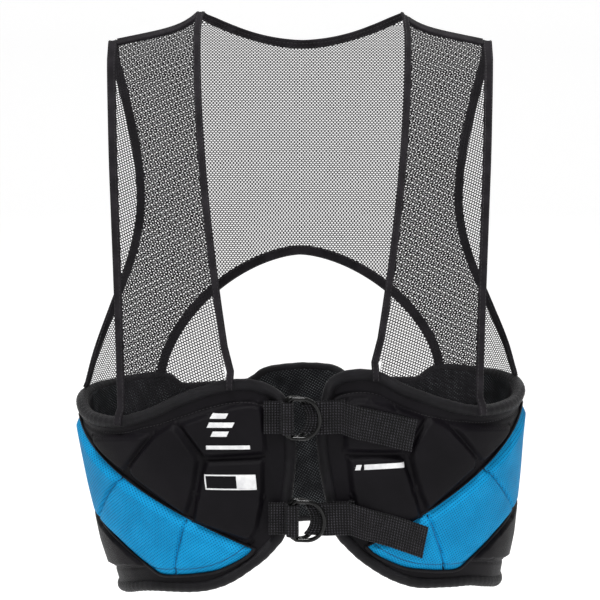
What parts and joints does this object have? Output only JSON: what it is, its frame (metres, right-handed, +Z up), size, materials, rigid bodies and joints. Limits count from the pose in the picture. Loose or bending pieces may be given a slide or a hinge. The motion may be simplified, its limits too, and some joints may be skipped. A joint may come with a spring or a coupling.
{
  "type": "rib protector",
  "caption": "Sleeveless mesh vest with a padded rib belt that closes at the front with webbing straps through paired D-rings.",
  "frame": {"origin": "midway between the two shoulder seams, where the vest rests on the wearer's shoulders", "axes": "+Z up along the wearer, -Y towards the wearer's front with the closure, +X to the right as seen from the front"},
  "size_m": [0.3692, 0.2349, 0.4724],
  "materials": {
    "net": "matt knitted net",
    "binding_tape": "matt folded tape",
    "black_fabric": "matt moulded cloth",
    "blue_mesh": "matt air mesh",
    "lining": "matt spacer mesh",
    "webbing": "ribbed woven webbing",
    "ring_plastic": "moulded gloss"
  },
  "bodies": {
    "root": {"front_shell_left": "black_fabric", "front_shell_right": "black_fabric", "back_shell": "black_fabric", "back_lining": "lining", "belt_binding": "binding_tape", "upper_front_pad_left": "black_fabric", "upper_front_pad_right": "black_fabric", "lower_front_pad_left": "black_fabric", "lower_front_pad_right": "black_fabric", "diamond_pad_left": "black_fabric", "diamond_pad_right": "black_fabric", "side_pad_left": "black_fabric", "side_pad_right": "black_fabric", "blue_side_pad_left": "blue_mesh", "blue_side_pad_right": "blue_mesh", "blue_middle_pad_left": "blue_mesh", "blue_middle_pad_right": "blue_mesh", "blue_front_pad_left": "blue_mesh", "blue_front_pad_right": "blue_mesh", "lower_side_pad_left": "black_fabric", "lower_side_pad_right": "black_fabric", "armhole_binding_left": "binding_tape", "armhole_binding_right": "binding_tape", "neckline_binding": "binding_tape", "arch_binding": "binding_tape", "shoulder_seam_left": "binding_tape", "shoulder_seam_right": "binding_tape", "front_net_left": "net", "front_net_right": "net", "back_net": "net", "ring_loop_upper": "webbing", "d_ring_inner_upper": "ring_plastic", "d_ring_outer_upper": "ring_plastic", "strap_upper": "webbing", "ring_loop_lower": "webbing", "d_ring_inner_lower": "ring_plastic", "d_ring_outer_lower": "ring_plastic", "strap_lower": "webbing"}
  },
  "joints": []
}
